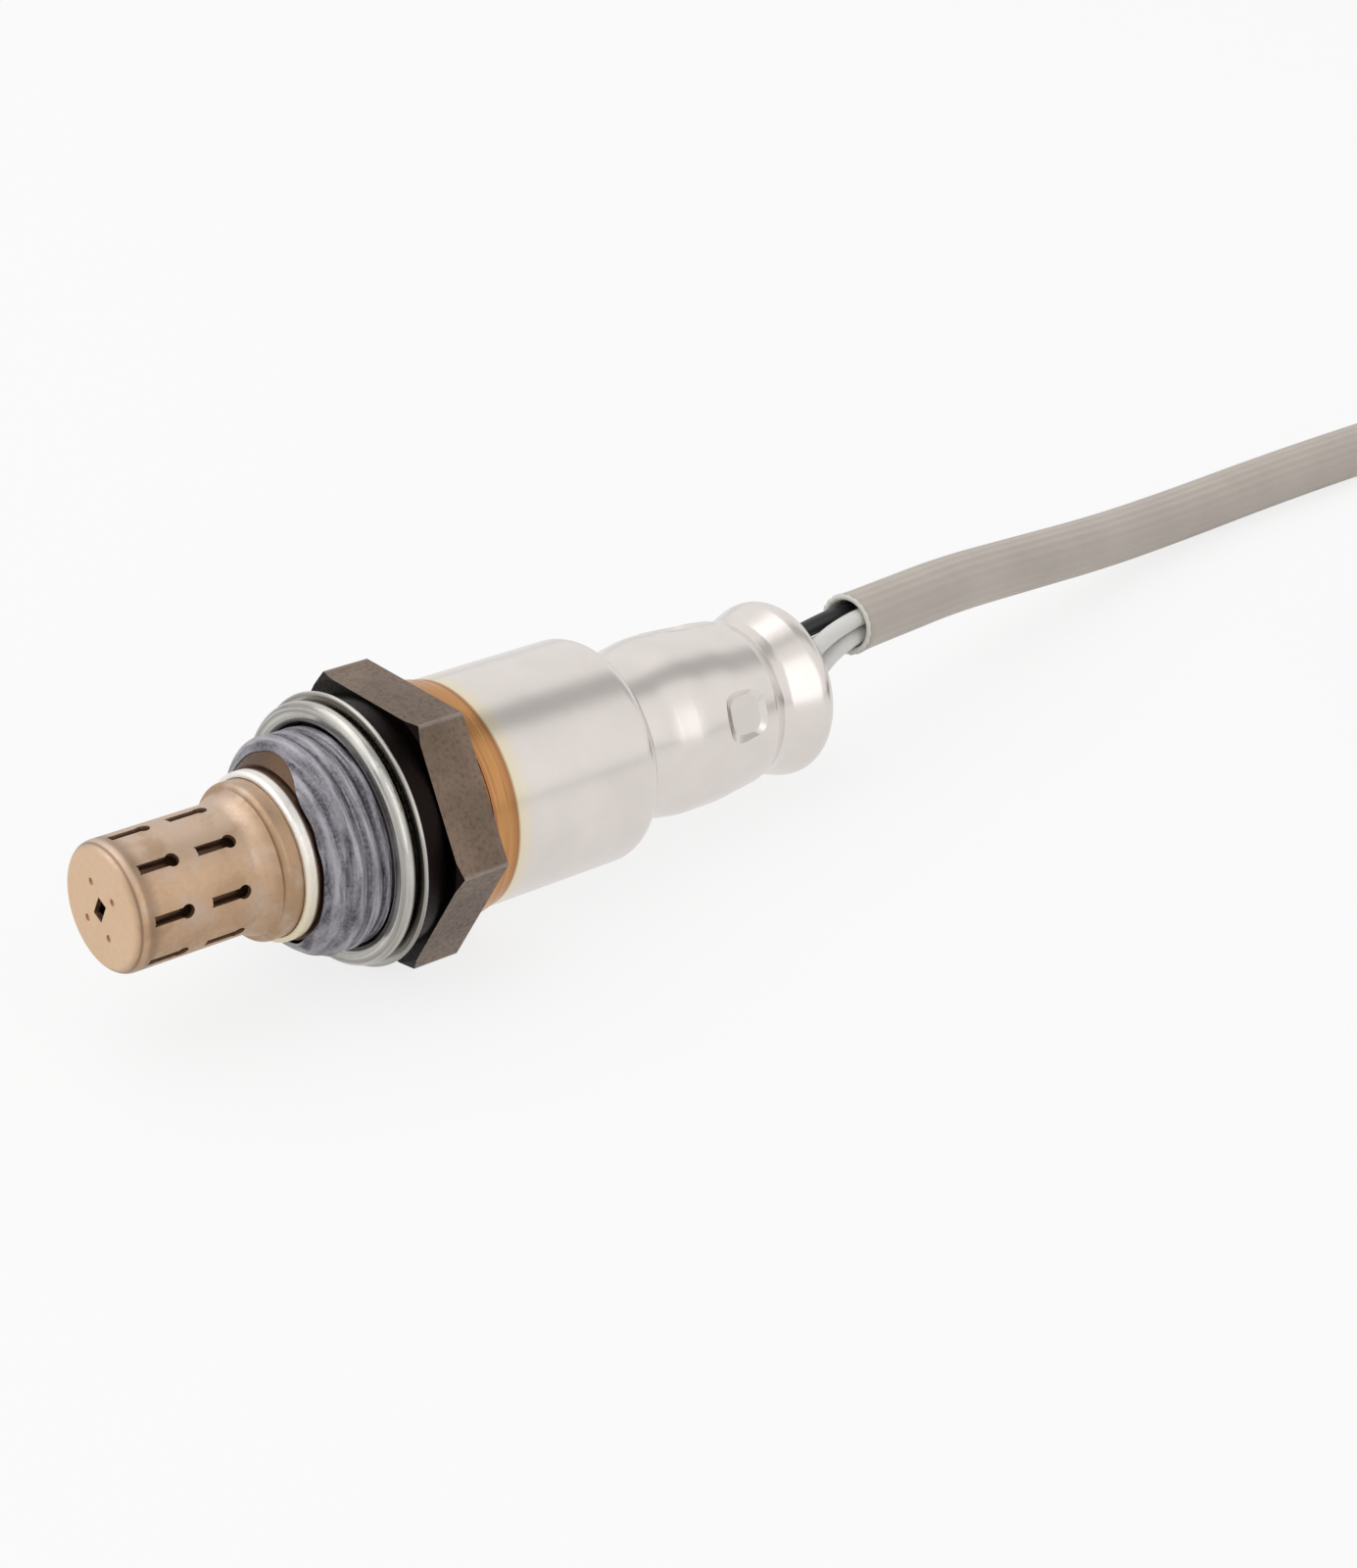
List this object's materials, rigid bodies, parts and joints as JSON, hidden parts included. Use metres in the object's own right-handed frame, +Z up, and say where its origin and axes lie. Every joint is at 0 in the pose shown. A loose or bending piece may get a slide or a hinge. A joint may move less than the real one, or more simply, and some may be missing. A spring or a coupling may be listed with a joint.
{
  "type": "oxygen sensor",
  "caption": "Heated exhaust oxygen sensor: louvred protector, threaded hexagon housing with crush gasket, crimped steel cover and a sleeved cable with a plug.",
  "frame": {"origin": "on the resting surface, under the middle of the sensor body's length and on its centre plane", "axes": "+X along the sensor's length from the protector's tip towards the cable, +Z up from the resting surface; the sensor's axis dips 3.4 degrees towards +X"},
  "size_m": [0.2151, 0.0662, 0.0232],
  "materials": {
    "protector_steel": "heat-tinted drawn steel, satin",
    "plain_steel": "bare drawn steel, satin",
    "housing_steel": "brown heat-tinted turned steel, satin; anti-seize paste on the thread",
    "gasket_steel": "bright folded sheet",
    "zirconia": "porous coating, matt",
    "alumina": "matt white",
    "talc": "pressed powder, matt",
    "nickel": "nickel, satin",
    "cover_steel": "deep-drawn stainless steel, satin, straw tint at the weld",
    "black_rubber": "matt",
    "black_insulation": "smooth",
    "grey_insulation": "smooth",
    "white_insulation": "smooth",
    "sleeve_tube": "beige-grey, fine lengthwise ribs",
    "plug_plastic": "moulded, matt",
    "lock_plastic": "moulded, matt",
    "seal_rubber": "silicone, matt",
    "brass": "stamped and plated"
  },
  "bodies": {
    "root": {"outer_protector": "protector_steel", "inner_protector": "plain_steel", "housing": "housing_steel", "gasket": "gasket_steel", "front_washer": "plain_steel", "zirconia_element": "zirconia", "heater_rod": "alumina", "talc_ring": "talc", "ceramic_bush": "alumina", "crimp_ring": "plain_steel", "outer_contact": "nickel", "inner_contact": "nickel", "heater_contact_a": "nickel", "heater_contact_b": "nickel", "ceramic_separator": "alumina", "separator_clip": "plain_steel", "cover": "cover_steel", "grommet": "black_rubber", "wire_black": "black_insulation", "wire_grey": "grey_insulation", "wire_white_a": "white_insulation", "wire_white_b": "white_insulation", "wire_sleeve": "sleeve_tube", "plug_body": "plug_plastic", "terminal_lock": "lock_plastic", "nose_seal": "seal_rubber", "wire_seals": "seal_rubber", "plug_terminals": "brass"}
  },
  "joints": []
}
